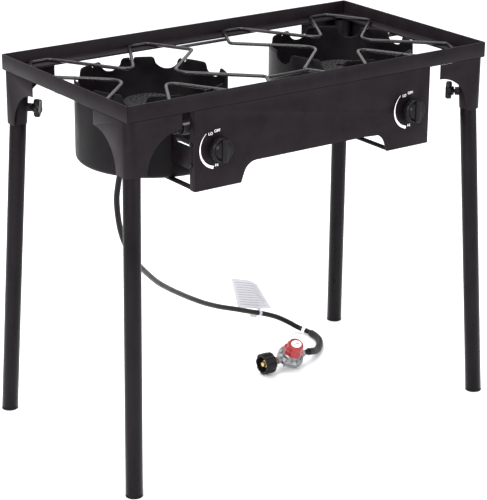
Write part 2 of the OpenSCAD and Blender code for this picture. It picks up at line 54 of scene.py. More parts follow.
REG_LEAN = math.radians(30)
SIDES = {"left": -1, "right": 1}
CORNERS = {"fl": (-1, -1), "fr": (1, -1), "bl": (-1, 1), "br": (1, 1)}


# ---- Camera ----

CAMERA_AT = (-2.0567, -2.8495, 1.6096)
# Turn from +Y towards +X, tilt below level and roll, in degrees
CAMERA_TURN, CAMERA_TILT, CAMERA_ROLL = 35.75, 20.17, 0.44
LENS_MM = 137.3
SENSOR_MM = 36


def place_camera():
    """Camera at the photograph's angle, with no shift and no depth of field."""
    turn, tilt, roll = [math.radians(a) for a in (CAMERA_TURN, CAMERA_TILT, CAMERA_ROLL)]
    ahead = Vector((math.sin(turn) * math.cos(tilt), math.cos(turn) * math.cos(tilt), -math.sin(tilt)))
    right = Vector((math.cos(turn), -math.sin(turn), 0))
    up = right.cross(ahead)
    across = math.cos(roll) * right + math.sin(roll) * up
    upward = -math.sin(roll) * right + math.cos(roll) * up
    data = bpy.data.cameras.new("camera")
    data.sensor_width = SENSOR_MM
    data.lens = LENS_MM
    camera = bpy.data.objects.new("camera", data)
    facing = Matrix((across, upward, -ahead)).transposed().to_4x4()
    camera.matrix_world = Matrix.Translation(CAMERA_AT) @ facing
    bpy.context.scene.collection.objects.link(camera)
    bpy.context.scene.camera = camera


place_camera()
bpy.context.scene.view_settings.view_transform = "Standard"


# ---- Materials ----

def finish(name, base, rough, metal=0.0, grain=900.0, bump=0.15, blotch=0.25, blotch_scale=22.0,
           dust=0.0, spread=0.1, specular=0.5, coat=0.0, stretch=(1, 1, 1), vein=None):
    """A painted, cast, moulded or plated surface: fine grain, soft blotches and dust on top faces.

    base is a linear colour. blotch is how far the colour strays, and vein a second colour to stray to.
    spread is how far the roughness strays from rough, and stretch squeezes the pattern along an axis.
    """
    mat = bpy.data.materials.new(name)
    mat.use_nodes = True
    tree = mat.node_tree
    nodes = tree.nodes
    link = tree.links.new
    shader = nodes["Principled BSDF"]
    shader.inputs["Metallic"].default_value = metal
    shader.inputs["Specular IOR Level"].default_value = specular
    shader.inputs["Coat Weight"].default_value = coat
    shader.inputs["Coat Roughness"].default_value = 0.2
    coords = nodes.new("ShaderNodeTexCoord")
    mapping = nodes.new("ShaderNodeMapping")
    mapping.inputs["Scale"].default_value = stretch
    link(coords.outputs["Object"], mapping.inputs["Vector"])
    fine = nodes.new("ShaderNodeTexNoise")
    fine.inputs["Scale"].default_value = grain
    fine.inputs["Detail"].default_value = 3
    link(mapping.outputs["Vector"], fine.inputs["Vector"])
    broad = nodes.new("ShaderNodeTexNoise")
    broad.inputs["Scale"].default_value = blotch_scale
    broad.inputs["Detail"].default_value = 5
    broad.inputs["Roughness"].default_value = 0.65
    link(mapping.outputs["Vector"], broad.inputs["Vector"])
    # Blotches
    ramp = nodes.new("ShaderNodeMapRange")
    ramp.inputs["From Min"].default_value = 0.35
    ramp.inputs["From Max"].default_value = 0.7
    link(broad.outputs["Fac"], ramp.inputs["Value"])
    mix = nodes.new("ShaderNodeMix")
    mix.data_type = "RGBA"
    mix.inputs["A"].default_value = (*[c * (1 - blotch) for c in base], 1)
    other = vein if vein else [min(1, c * (1 + blotch)) for c in base]
    mix.inputs["B"].default_value = (*other, 1)
    link(ramp.outputs["Result"], mix.inputs["Factor"])
    colour = mix.outputs["Result"]
    if dust > 0:
        geo = nodes.new("ShaderNodeNewGeometry")
        split = nodes.new("ShaderNodeSeparateXYZ")
        link(geo.outputs["Normal"], split.inputs["Vector"])
        top = nodes.new("ShaderNodeMapRange")
        top.inputs["From Min"].default_value = 0.5
        top.inputs["From Max"].default_value = 1.0
        top.inputs["To Max"].default_value = dust
        link(split.outputs["Z"], top.inputs["Value"])
        cover = nodes.new("ShaderNodeMath")
        cover.operation = "MULTIPLY"
        link(top.outputs["Result"], cover.inputs[0])
        link(broad.outputs["Fac"], cover.inputs[1])
        dusty = nodes.new("ShaderNodeMix")
        dusty.data_type = "RGBA"
        dusty.inputs["B"].default_value = (0.34, 0.33, 0.33, 1)
        link(cover.outputs["Value"], dusty.inputs["Factor"])
        link(colour, dusty.inputs["A"])
        colour = dusty.outputs["Result"]
    link(colour, shader.inputs["Base Color"])
    # Uneven gloss
    gloss = nodes.new("ShaderNodeMapRange")
    gloss.inputs["From Min"].default_value = 0.3
    gloss.inputs["From Max"].default_value = 0.7
    gloss.inputs["To Min"].default_value = max(0.03, rough - spread)
    gloss.inputs["To Max"].default_value = min(1.0, rough + spread)
    link(broad.outputs["Fac"], gloss.inputs["Value"])
    link(gloss.outputs["Result"], shader.inputs["Roughness"])
    # Grain
    relief = nodes.new("ShaderNodeBump")
    relief.inputs["Strength"].default_value = bump
    relief.inputs["Distance"].default_value = 0.0004
    link(fine.outputs["Fac"], relief.inputs["Height"])
    link(relief.outputs["Normal"], shader.inputs["Normal"])
    return mat


# One finish for each material slot
FINISHES = {
    "black_coat": dict(base=(0.0088, 0.0064, 0.0082), rough=0.36, grain=1100, bump=0.22, dust=0.006,
                       specular=0.07),
    "black_tube": dict(base=(0.0062, 0.0046, 0.0060), rough=0.30, grain=1200, bump=0.2, specular=0.10,
                       blotch=0.3, stretch=(1, 1, 0.35)),
    "black_plastic": dict(base=(0.005, 0.005, 0.0053), rough=0.6, grain=1600, bump=0.3, specular=0.2),
    "knob_plastic": dict(base=(0.0042, 0.0035, 0.0042), rough=0.33, specular=0.15, grain=2200, bump=0.1,
                         blotch=0.2, spread=0.06),
    "zinc_fastener": dict(base=(0.42, 0.42, 0.44), rough=0.34, metal=1, grain=1500, bump=0.15),
    "white_print": dict(base=(0.82, 0.82, 0.82), rough=0.55, grain=1800, bump=0.05, blotch=0.06),
    "shield_coat": dict(base=(0.0046, 0.0036, 0.0047), rough=0.42, grain=1000, bump=0.3, specular=0.09,
                        blotch=0.4, blotch_scale=14, vein=(0.0075, 0.0058, 0.0068), dust=0.004),
    "cast_iron": dict(base=(0.004, 0.004, 0.0043), rough=0.5, grain=420, bump=0.9, blotch=0.4,
                      specular=0.12, blotch_scale=60),
    "zinc_plate": dict(base=(0.5, 0.5, 0.52), rough=0.38, metal=1, grain=700, bump=0.12),
    "dark_pipe": dict(base=(0.034, 0.031, 0.035), rough=0.36, metal=0.1, specular=0.3, grain=800,
                      bump=0.25),
    "valve_aluminium": dict(base=(0.5, 0.5, 0.51), rough=0.48, metal=1, grain=650, bump=0.35),
    "bright_steel": dict(base=(0.6, 0.6, 0.61), rough=0.24, metal=1, grain=900, bump=0.08),
    "brass": dict(base=(0.62, 0.43, 0.17), rough=0.3, metal=1, grain=900, bump=0.1, blotch=0.15),
    "grate_wire": dict(base=(0.012, 0.0108, 0.0122), rough=0.27, metal=0.1, specular=0.3, grain=900,
                       bump=0.25, blotch=0.35, blotch_scale=45, dust=0.012),
    "dark_fitting": dict(base=(0.007, 0.007, 0.0075), rough=0.42, metal=0.1, specular=0.2, grain=900,
                         bump=0.2),
    "hose_rubber": dict(base=(0.0042, 0.0034, 0.0043), rough=0.34, specular=0.13, grain=1500, bump=0.15,
                        blotch=0.25, blotch_scale=35),
    "sleeve_rubber": dict(base=(0.009, 0.0084, 0.0095), rough=0.5, specular=0.16, grain=1300, bump=0.3,
                          blotch=0.3, blotch_scale=35),
    "white_plastic": dict(base=(0.8, 0.8, 0.8), rough=0.45, grain=1500, bump=0.08, blotch=0.05),
    "tag_paper": dict(base=(0.44, 0.43, 0.46), rough=0.62, grain=1400, bump=0.1, blotch=0.04),
    "cast_zinc": dict(base=(0.24, 0.243, 0.252), rough=0.44, metal=1, grain=900, bump=0.45, blotch=0.18,
                      blotch_scale=50),
    "red_plastic": dict(base=(0.23, 0.003, 0.007), rough=0.28, grain=1500, bump=0.06, blotch=0.12,
                        coat=0.3),
    "nut_plastic": dict(base=(0.0042, 0.0036, 0.0042), rough=0.42, specular=0.16, grain=1500, bump=0.25),
}
MATS = {slot: finish(slot, **look) for slot, look in FINISHES.items()}
TAG_PRINT = finish("tag_print", (0.30, 0.29, 0.315), 0.62, grain=1400, bump=0.1, blotch=0.3,
                   blotch_scale=400)
NODE_SLOT = {s["node"]: s["material_slot"] for s in frame["record"]["subparts"]}
# The panel's screws look as dark as the panel
NODE_SLOT["panel_screws"] = "dark_fitting"
NODE_BODY = {n: b for b, ns in frame["record"]["behaviour"]["bodies"].items() for n in ns}


# ---- Mesh helpers ----

def add_piece(name, mesh, slot_name, body, replaces=()):
    """Puts the mesh in the scene with its finish, on its body, in place of the CAD nodes."""
    obj = bpy.data.objects.new(name, mesh)
    bpy.context.scene.collection.objects.link(obj)
    if not mesh.materials:
        mesh.materials.append(MATS[slot_name])
    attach(obj, body)
    if replaces:
        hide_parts(*replaces)
    return obj


def to_mesh(name, bm, smooth_deg=35):
    """Turns bm into a mesh that is smooth except at edges sharper than smooth_deg."""
    bmesh.ops.recalc_face_normals(bm, faces=bm.faces)
    mesh = bpy.data.meshes.new(name)
    bm.to_mesh(mesh)
    bm.free()
    for poly in mesh.polygons:
        poly.use_smooth = True
    mesh.set_sharp_from_angle(angle=math.radians(smooth_deg))
    return mesh


def soften(bm, width, segments=2, angle=28):
    """Rounds every edge sharper than the angle."""
    edges = [e for e in bm.edges if len(e.link_faces) == 2
             and e.calc_face_angle(0) > math.radians(angle)]
    if edges:
        bmesh.ops.bevel(bm, geom=edges, offset=width, segments=segments, profile=0.5,
                        affect="EDGES", clamp_overlap=True)


def finish_node(node, width=0.0006, segments=2, smooth_deg=40):
    """The CAD node's own shape with worn, rounded edges and smooth curves."""
    bm = bmesh.new()
    bm.from_mesh(frame["nodes"][node].data)
    bmesh.ops.remove_doubles(bm, verts=bm.verts, dist=0.00002)
    bmesh.ops.dissolve_limit(bm, angle_limit=math.radians(0.6), verts=bm.verts, edges=bm.edges)
    if width:
        soften(bm, width, segments)
    mesh = to_mesh(node + "_piece", bm, smooth_deg)
    return add_piece(node + "_piece", mesh, NODE_SLOT[node], NODE_BODY[node], [node])


def lathe(bm, profile, steps, matrix, wave=None, closed=False):
    """Turns (radius, height, weight) points about Z. wave(angle) scales the radius by its weight."""
    rings = []
    for point in profile:
        r, z = point[0], point[1]
        weight = point[2] if len(point) > 2 else 0
        if r < 1e-7:
            rings.append([bm.verts.new(matrix @ Vector((0, 0, z)))])
            continue
        ring = []
        for k in range(steps):
            a = 2 * math.pi * k / steps
            rr = r * (1 + weight * (wave(a) - 1)) if wave else r
            ring.append(bm.verts.new(matrix @ Vector((rr * math.cos(a), rr * math.sin(a), z))))
        rings.append(ring)
    pairs = list(zip(rings, rings[1:]))
    if closed:
        pairs.append((rings[-1], rings[0]))
    for lo, hi in pairs:
        for k in range(steps):
            n = (k + 1) % steps
            if len(lo) == 1 and len(hi) == 1:
                continue
            if len(lo) == 1:
                bm.faces.new((lo[0], hi[k], hi[n]))
            elif len(hi) == 1:
                bm.faces.new((lo[k], lo[n], hi[0]))
            else:
                bm.faces.new((lo[k], lo[n], hi[n], hi[k]))


def block(bm, lo, hi, matrix, width=0.0, segments=3):
    """A box with rounded edges."""
    part = bmesh.new()
    bmesh.ops.create_cube(part, size=1)
    size = Vector(hi) - Vector(lo)
    mid = (Vector(hi) + Vector(lo)) / 2
    bmesh.ops.scale(part, vec=size, verts=part.verts)
    bmesh.ops.translate(part, vec=mid, verts=part.verts)
    if width:
        bmesh.ops.bevel(part, geom=part.edges[:], offset=width, segments=segments, profile=0.5,
                        affect="EDGES", clamp_overlap=True)
    bmesh.ops.transform(part, matrix=matrix, verts=part.verts)
    mesh = bpy.data.meshes.new("block")
    part.to_mesh(mesh)
    part.free()
    bm.from_mesh(mesh)
    bpy.data.meshes.remove(mesh)


def catmull(points, per):
    """Smooth curve through the points."""
    out = []
    for i in range(len(points) - 1):
        p0, p1 = points[max(i - 1, 0)], points[i]
        p2, p3 = points[i + 1], points[min(i + 2, len(points) - 1)]
        for k in range(per):
            t = k / per
            out.append(0.5 * (2 * p1 + (p2 - p0) * t + (2 * p0 - 5 * p1 + 4 * p2 - p3) * t * t
                              + (3 * p1 - p0 - 3 * p2 + p3) * t ** 3))
    out.append(points[-1].copy())
    return out


def sweep(bm, points, radius, sides, closed=False):
    """A round tube along the points. radius is a number or a function of the point's index."""
    n = len(points)
    normal = None
    rings = []
    for i, p in enumerate(points):
        if closed:
            t = (points[(i + 1) % n] - points[i - 1]).normalized()
        else:
            t = (points[min(i + 1, n - 1)] - points[max(i - 1, 0)]).normalized()
        if normal is None:
            normal = t.orthogonal() if abs(t.z) > 0.9 else Vector((0, 0, 1))
        normal = (normal - normal.dot(t) * t).normalized()
        side = t.cross(normal)
        r = radius(i) if callable(radius) else radius
        rings.append([bm.verts.new(p + r * (math.cos(a) * normal + math.sin(a) * side))
                      for a in [2 * math.pi * k / sides for k in range(sides)]])
    for i in range(n if closed else n - 1):
        a, b = rings[i], rings[(i + 1) % n]
        for k in range(sides):
            m = (k + 1) % sides
            bm.faces.new((a[k], a[m], b[m], b[k]))
    if not closed:
        bm.faces.new(rings[0])
        bm.faces.new(rings[-1])


# ---- Hose ----

HOSE = [Vector(p) / 1000 for p in (
    (-303, -180, 659), (-318, -180, 659), (-332, -176, 655), (-343, -166, 645),
    (-352, -151, 628), (-358, -135, 603), (-361, -120, 574), (-360, -109, 544),
    (-357, -100, 518), (-348, -90, 478), (-331, -75, 436), (-305, -57, 395),
    (-268, -30, 354), (-225, 5, 315), (-182, 38, 279), (-138, 70, 247),
    (-92, 100, 216), (-42, 130, 184), (8, 155, 154), (62, 178, 126),
    (112, 194, 104), (160, 207, 83), (206, 217, 64), (246, 223, 45),
    (277, 222, 26), (294, 214, 14), (303, 199, 9.5), (307, 181, 8),
    (304, 159, 8), (296, 137, 8.5), (281, 116, 9), (263, 98, 11),
    (244, 84, 15), (228, 75, 21), (214, 70, 25), (201, 68, 26))]
# Route point where the sleeve starts, just after the tie
SLEEVE_START = 27
HOSE_R = 0.0055
SLEEVE_R = 0.0075


def make_hose():
    """Hose along its route, and the thicker sleeve on its last stretch."""
    path = catmull(HOSE, 6)
    bm = bmesh.new()
    sweep(bm, path, HOSE_R, 20)
    hose = add_piece("hose_piece", to_mesh("hose_piece", bm, 60), "hose_rubber", "frame", ["hose"])
    cover = catmull(HOSE[SLEEVE_START:-1], 6)
    last = len(cover) - 1
    bm = bmesh.new()
    sweep(bm, cover, lambda i: SLEEVE_R - (0.0008 if i in (0, last) else 0), 24)
    sleeve = add_piece("hose_sleeve_piece", to_mesh("hose_sleeve_piece", bm, 60), "sleeve_rubber",
                       "frame", ["hose_sleeve"])
    length = sum((b - a).length for a, b in zip(path, path[1:]))
    return hose, sleeve, path, length


def make_tie():
    """Nylon cable tie: ribbed band, square head and cut tail."""
    at = HOSE[SLEEVE_START - 1]
    run = (HOSE[SLEEVE_START] - HOSE[SLEEVE_START - 2]).normalized()
    turn = run.to_track_quat("Z", "X").to_matrix().to_4x4()
    place = Matrix.Translation(at) @ turn
    bm = bmesh.new()
    band = [(0.0056, -0.0032), (0.0069, -0.0034), (0.0072, -0.0028), (0.0072, 0.0028),
            (0.0069, 0.0034), (0.0056, 0.0032)]
    lathe(bm, band, 40, place, closed=True)
    # The head lies beside the hose, towards +Y, so that it stays off the floor
    back = (place.to_3x3() @ Vector((0, 1, 0))).y > 0
    side = place @ Matrix.Rotation(math.radians(-90 if back else 90), 4, "Z")
    block(bm, (-0.0100, -0.0030, -0.0030), (-0.0062, 0.0030, 0.0030), side, 0.0006)
    block(bm, (-0.0097, -0.0026, -0.0020), (-0.0087, 0.0026, 0.0020), side, 0.0003)
    return add_piece("hose_tie_piece", to_mesh("hose_tie_piece", bm), "white_plastic", "frame",
                     ["hose_tie"])


# Tag's lower and upper edges across and above the hose, in metres, and where it hangs on the route
TAG_LOW = ((-0.0455, 0.0112), (0.0, 0.0098), (0.0275, 0.0094))
TAG_HIGH = ((-0.0605, 0.0800), (-0.0190, 0.0745), (-0.0050, 0.0665))
TAG_AT = HOSE[22].lerp(HOSE[21], 0.33)
TAG_TURN = math.radians(-36)
TAG_STEPS = 36


def along(line, t):
    """Point at part t of a three-point line."""
    k = 0 if t < 0.5 else 1
    f = (t - 0.5 * k) * 2
    return tuple(line[k][i] * (1 - f) + line[k + 1][i] * f for i in (0, 1))


def make_tag():
    """Creased paper flag that stands up behind the hose, with a strip round the hose."""
    place = Matrix.Translation(TAG_AT) @ Matrix.Rotation(TAG_TURN, 4, "Z")
    bm = bmesh.new()
    grid = []
    for j in range(TAG_STEPS + 1):
        v = j / TAG_STEPS
        line = []
        for i in range(TAG_STEPS + 1):
            u = i / TAG_STEPS
            lo, hi = along(TAG_LOW, u), along(TAG_HIGH, u)
            x = lo[0] * (1 - v) + hi[0] * v
            z = lo[1] * (1 - v) + hi[1] * v
            bow = 0.0022 * math.sin(math.pi * v) * math.sin(2.6 * u + 0.4)
            y = bow + 0.0008 * math.sin(9 * u + 5 * v)
            line.append(bm.verts.new(place @ Vector((x, y, z))))
        grid.append(line)
    for j in range(TAG_STEPS):
        for i in range(TAG_STEPS):
            face = bm.faces.new((grid[j][i], grid[j][i + 1], grid[j + 1][i + 1], grid[j + 1][i]))
            # Plain grey bars stand in for the print
            if j % 3 == 1 and 3 < j < 33 and 3 <= i < 33 - (j * 7) % 5:
                face.material_index = 1
    mesh = to_mesh("hose_tag_piece", bm, 60)
    mesh.materials.append(MATS["tag_paper"])
    mesh.materials.append(TAG_PRINT)
    flag = add_piece("hose_tag_piece", mesh, "tag_paper", "frame", ["hose_tag"])
    # Strip that wraps the hose, and its tail below
    run = (HOSE[22] - HOSE[21]).normalized()
    ring = Matrix.Translation(TAG_AT) @ run.to_track_quat("Z", "X").to_matrix().to_4x4()
    bm = bmesh.new()
    lathe(bm, [(0.0057, -0.0042), (0.0062, -0.0042), (0.0062, 0.0042), (0.0057, 0.0042)], 40, ring,
          closed=True)
    block(bm, (-0.0035, -0.0002, 0.0052), (0.0035, 0.0003, 0.0118), place, 0.0001, 1)
    block(bm, (-0.0170, 0.0050, -0.0150), (-0.0020, 0.0054, -0.0045),
          place @ Matrix.Rotation(math.radians(14), 4, "Y"), 0.0001, 1)
    strip = add_piece("hose_tag_strip", to_mesh("hose_tag_strip", bm), "tag_paper", "frame")
    return flag, strip


# ---- Wind shields ----

# Corners of a quarter of a grate's rod, from its side tip to its rear tip
QUARTER = [Vector(p) / 1000 for p in ((52, 0, 0), (177, 120, 0), (130, 210, 0), (90, 210, 0), (0, 52, 0))]
SHIELD_SHEET = 0.0018
# Rim: angle from notch to notch, arc that cuts each notch, and round shoulders beside it
NOTCH_STEP = 45
NOTCH_R = 0.026
NOTCH_HALF = 0.022
NOTCH_RISE = 0.004
ROUND_R = 0.008
# Grooves that the grate's rods lie in
GROOVE_R = 0.0046
GROOVE_HALF = 0.0044
# Lip under the wall: its inner edge and middle, in from the wall, and its bend
LIP_IN = 0.034
LIP_MID = 0.022
LIP_BEND = 0.010
BEND_STEPS = 6
WALL_STEPS = 4
# Front window: half its width, and its lower and upper edges
WINDOW_HALF = 0.043
WINDOW_LO = SHIELD_BOTTOM + 0.034
WINDOW_HI = SHIELD_BOTTOM + 0.118


def groove_angles():
    """Where the grate's rods cross the shield's wall, in degrees from the burner's axis."""
    found = []
    for a, b in ((QUARTER[0], QUARTER[1]), (QUARTER[4], QUARTER[3])):
        for k in range(2001):
            p = a.lerp(b, k / 2000)
            for sy in (-1, 1):
                x, y = p.x, sy * p.y - BURNER_Y
                if abs(math.hypot(x, y) - SHIELD_R + 0.001) < 0.00006:
                    found += [math.degrees(math.atan2(y, x)) % 360, math.degrees(math.atan2(y, -x)) % 360]
    kept = []
    for a in sorted(found):
        if not kept or a - kept[-1] > 1:
            kept.append(a)
    return kept


def rim_height(deg):
    """Height of the shield's top edge at this angle: notches, rounded lobes and wire grooves."""
    off = (deg + NOTCH_STEP / 2) % NOTCH_STEP - NOTCH_STEP / 2
    d = abs(math.radians(off)) * SHIELD_R
    z = SHIELD_TOP
    if d < NOTCH_HALF:
        z = SHIELD_TOP + NOTCH_RISE - math.sqrt(NOTCH_R ** 2 - d ** 2)
    elif d < NOTCH_HALF + ROUND_R:
        e = ROUND_R - (d - NOTCH_HALF)
        z = SHIELD_TOP - ROUND_R + math.sqrt(max(0, ROUND_R ** 2 - e ** 2))
    for g in GROOVES:
        s = abs(math.radians((deg - g + 180) % 360 - 180)) * SHIELD_R
        if s < GROOVE_HALF:
            z = min(z, WIRE_Z - math.sqrt(GROOVE_R ** 2 - s ** 2))
    return z


GROOVES = groove_angles()


def make_shield(side):
    """Round sheet wall with a lip bent in under it, a window to the front and a notched rim."""
    centre = Vector((SIDES[side] * BURNER_X, BURNER_Y, 0))
    half = math.degrees(math.asin(WINDOW_HALF / SHIELD_R))
    angles = sorted({round(0.5 * k, 4) for k in range(720)} | {round(270 - half, 4), round(270 + half, 4)})
    bm = bmesh.new()
    columns = []
    for deg in angles:
        a = math.radians(deg)
        out = Vector((math.cos(a), math.sin(a), 0))
        column = [(SHIELD_R - LIP_IN, SHIELD_BOTTOM), (SHIELD_R - LIP_MID, SHIELD_BOTTOM)]
        for k in range(BEND_STEPS + 1):
            b = math.radians(90 * k / BEND_STEPS)
            column.append((SHIELD_R - LIP_BEND + LIP_BEND * math.sin(b),
                           SHIELD_BOTTOM + LIP_BEND - LIP_BEND * math.cos(b)))
        window_row = len(column)
        column.append((SHIELD_R, WINDOW_LO))
        for k in range(1, WALL_STEPS + 1):
            column.append((SHIELD_R, WINDOW_LO + (WINDOW_HI - WINDOW_LO) * k / WALL_STEPS))
        top = rim_height(deg)
        for k in range(1, WALL_STEPS + 1):
            column.append((SHIELD_R, WINDOW_HI + (top - WINDOW_HI) * k / WALL_STEPS))
        columns.append([bm.verts.new(centre + out * r + Vector((0, 0, z))) for r, z in column])
    n = len(angles)
    for i in range(n):
        a, b = columns[i], columns[(i + 1) % n]
        mid = (angles[i] + (angles[(i + 1) % n] if i + 1 < n else 360)) / 2
        for k in range(len(a) - 1):
            level = window_row <= k < window_row + WALL_STEPS
            if level and abs(mid - 270) < half:
                continue
            bm.faces.new((a[k], b[k], b[k + 1], a[k + 1]))
    bmesh.ops.recalc_face_normals(bm, faces=bm.faces)
    mesh = bpy.data.meshes.new("wind_shield_%s_piece" % side)
    bm.to_mesh(mesh)
    bm.free()
    for poly in mesh.polygons:
        poly.use_smooth = True
    obj = add_piece("wind_shield_%s_piece" % side, mesh, "shield_coat", "frame", ["wind_shield_" + side])
    solid = obj.modifiers.new("sheet", "SOLIDIFY")
    solid.thickness = SHIELD_SHEET
    solid.offset = -1
    edge = obj.modifiers.new("edge", "BEVEL")
    edge.width = 0.0004
    edge.segments = 2
    edge.limit_method = "ANGLE"
    edge.angle_limit = math.radians(60)
    return obj


# ---- Grates ----

# How far each bend of the rod starts from its corner
TIP_TRIM = 0.034
CORNER_TRIM = 0.009


def flip(p, sx, sy):
    return Vector((sx * p.x, sy * p.y, 0))


def make_grate(side):
    """One closed rod, bent in to a tip on each side, with every corner rounded."""
    q = QUARTER
    loop = [flip(q[i], 1, 1) for i in range(4)] + [flip(q[i], -1, 1) for i in range(4, 0, -1)]
    loop += [flip(q[i], -1, -1) for i in range(4)] + [flip(q[i], 1, -1) for i in range(4, 0, -1)]
    n = len(loop)
    line = []
    for i, p in enumerate(loop):
        a, b = (loop[i - 1] - p), (loop[(i + 1) % n] - p)
        trim = TIP_TRIM if abs(p.x * p.y) < 1e-9 else CORNER_TRIM
        p0, p2 = p + a.normalized() * trim, p + b.normalized() * trim
        steps = [k / 12 for k in range(13)]
        line += [p0 * (1 - t) ** 2 + p * 2 * t * (1 - t) + p2 * t ** 2 for t in steps]
    at = Vector((SIDES[side] * BURNER_X, 0, WIRE_Z))
    line = [p + at for p in line]
    bm = bmesh.new()
    sweep(bm, line, WIRE_R - 0.00005, 20, closed=True)
    mesh = to_mesh("grate_%s_piece" % side, bm, 60)
    return add_piece("grate_%s_piece" % side, mesh, "grate_wire", "frame", ["grate_" + side])


# ---- Knobs and screws ----

# Foot and top of the right back leg's axis, and the height of its screw
LEG_FOOT = Vector((0.4105, 0.230, 0))
LEG_TOP = Vector((0.4065 - 0.0193, 0.218 - 0.0193, 0.595))
SCREW_Z = 0.626
KNOB_Y = -0.2195


def to_front(x, y):
    """Place at the valves' height whose Z axis points out of the panel."""
    return Matrix.Translation((x, y, VALVE_Z)) @ Matrix.Rotation(math.pi / 2, 4, "X")


def make_control_knob(side):
    """Skirted knob with a deep waisted hub and a rounded grip bar."""
    place = to_front(SIDES[side] * BURNER_X, KNOB_Y)
    bm = bmesh.new()
    lathe(bm, [(0.0, 0.0004), (0.0112, 0.0004), (0.0118, 0.001), (0.0118, 0.0080), (0.0, 0.0080)], 60, place)
    skirt = [(0.0, 0.0072), (0.0216, 0.0072), (0.0226, 0.0080), (0.0229, 0.0096), (0.0228, 0.0140),
             (0.0222, 0.0166), (0.0212, 0.0180), (0.0196, 0.0187), (0.0178, 0.0182), (0.0166, 0.0176),
             (0.0158, 0.0184), (0.0152, 0.0204), (0.0142, 0.0216), (0.0126, 0.0221), (0.0, 0.0222)]
    lathe(bm, skirt, 80, place)
    block(bm, (-0.0058, -0.0206, 0.0120), (0.0058, 0.0206, 0.0263), place, 0.0026, 5)
    mesh = to_mesh("control_knob_%s_piece" % side, bm, 40)
    return add_piece("control_knob_%s_piece" % side, mesh, "knob_plastic", "control_" + side,
                     ["control_knob_" + side])


def lobes(count, depth, sharp=1.0, start=0.0):
    """Wave for lathe() with count lobes and hollows depth deep between them."""
    def wave(a):
        c = 0.5 + 0.5 * math.cos(count * (a - start))
        return 1 - depth * (1 - c) ** sharp
    return wave


def make_thumb_screw(corner):
    """Star head, collar and threaded stud, pointing at the leg's axis."""
    sx, sy = CORNERS[corner]
    at = LEG_FOOT + (LEG_TOP - LEG_FOOT) * (SCREW_Z / LEG_TOP.z)
    at = Vector((sx * at.x, sy * at.y, SCREW_Z))
    inward = Vector((-sx, -sy, 0)).normalized()
    place = Matrix.Translation(at) @ inward.to_track_quat("Z", "Y").to_matrix().to_4x4()
    bm = bmesh.new()
    star = [(0.0, 0.0310), (0.0135, 0.0310, 0.6), (0.0165, 0.0316, 1), (0.0180, 0.0332, 1),
            (0.0184, 0.0355, 1), (0.0184, 0.0390, 1), (0.0178, 0.0412, 1), (0.0162, 0.0426, 1),
            (0.0135, 0.0428, 0.9), (0.0095, 0.0424, 0.3), (0.0080, 0.0418), (0.0, 0.0416)]
    lathe(bm, star, 100, place, lobes(5, 0.30, 1.3, math.pi / 5))
    lathe(bm, [(0.0, 0.0268), (0.0078, 0.0268), (0.0080, 0.0272), (0.0092, 0.0312), (0.0, 0.0312)], 40, place)
    stud = [(0.0, 0.0163), (0.0034, 0.0163), (0.0039, 0.0168)]
    z = 0.0168
    while z < 0.0265:
        stud += [(0.0039, z + 0.0002), (0.0034, z + 0.0006), (0.0039, z + 0.0010)]
        z += 0.00125
    stud += [(0.0034, z), (0.0, z)]
    lathe(bm, stud, 24, place)
    mesh = to_mesh("thumb_screw_%s_piece" % corner, bm, 35)
    return add_piece("thumb_screw_%s_piece" % corner, mesh, "knob_plastic", "thumb_screw_" + corner,
                     ["thumb_screw_" + corner])


# ---- Dials ----

# Printed scale: radius of its outer edge and of its words, the words' size, and where the crescent
# starts and how far it runs, in degrees
SCALE_R = 0.0379
WORD_R = 0.0315
WORD_SIZE = 0.0072
SCALE_START, SCALE_SWEEP = 128, 129


def text_mesh(words):
    """Flat letters as a mesh."""
    curve = bpy.data.curves.new("dial_text", "FONT")
    curve.body = words
    curve.size = WORD_SIZE
    curve.align_x = "CENTER"
    curve.align_y = "CENTER"
    curve.offset = 0.00012
    curve.resolution_u = 4
    obj = bpy.data.objects.new("dial_text", curve)
    bpy.context.scene.collection.objects.link(obj)
    bpy.context.view_layer.update()
    mesh = bpy.data.meshes.new_from_object(obj.evaluated_get(bpy.context.evaluated_depsgraph_get()))
    bpy.data.objects.remove(obj)
    return mesh


def make_dials():
    """Printed scales: a crescent that widens from LO to HI, with generic words."""
    bm = bmesh.new()
    for sx in SIDES.values():
        place = to_front(sx * BURNER_X, PANEL_Y - 0.00022)
        steps = 60
        outer, inner = [], []
        for k in range(steps + 1):
            f = k / steps
            a = math.radians(SCALE_START + SCALE_SWEEP * f)
            c, s = math.cos(a), math.sin(a)
            r = SCALE_R - 0.0006 - 0.0048 * f
            outer.append(bm.verts.new(place @ Vector((SCALE_R * c, SCALE_R * s, 0))))
            inner.append(bm.verts.new(place @ Vector((r * c, r * s, 0))))
        for k in range(steps):
            bm.faces.new((outer[k], outer[k + 1], inner[k + 1], inner[k]))
        for words, deg in (("OFF", 90), ("LO", 117), ("HI", 268)):
            a = math.radians(deg)
            mesh = text_mesh(words)
            mesh.transform(place @ Matrix.Translation((WORD_R * math.cos(a), WORD_R * math.sin(a), 0)))
            bm.from_mesh(mesh)
            bpy.data.meshes.remove(mesh)
    mesh = bpy.data.meshes.new("dial_marks_piece")
    bm.to_mesh(mesh)
    bm.free()
    return add_piece("dial_marks_piece", mesh, "white_print", "frame", ["dial_marks"])


# ---- Regulator ----

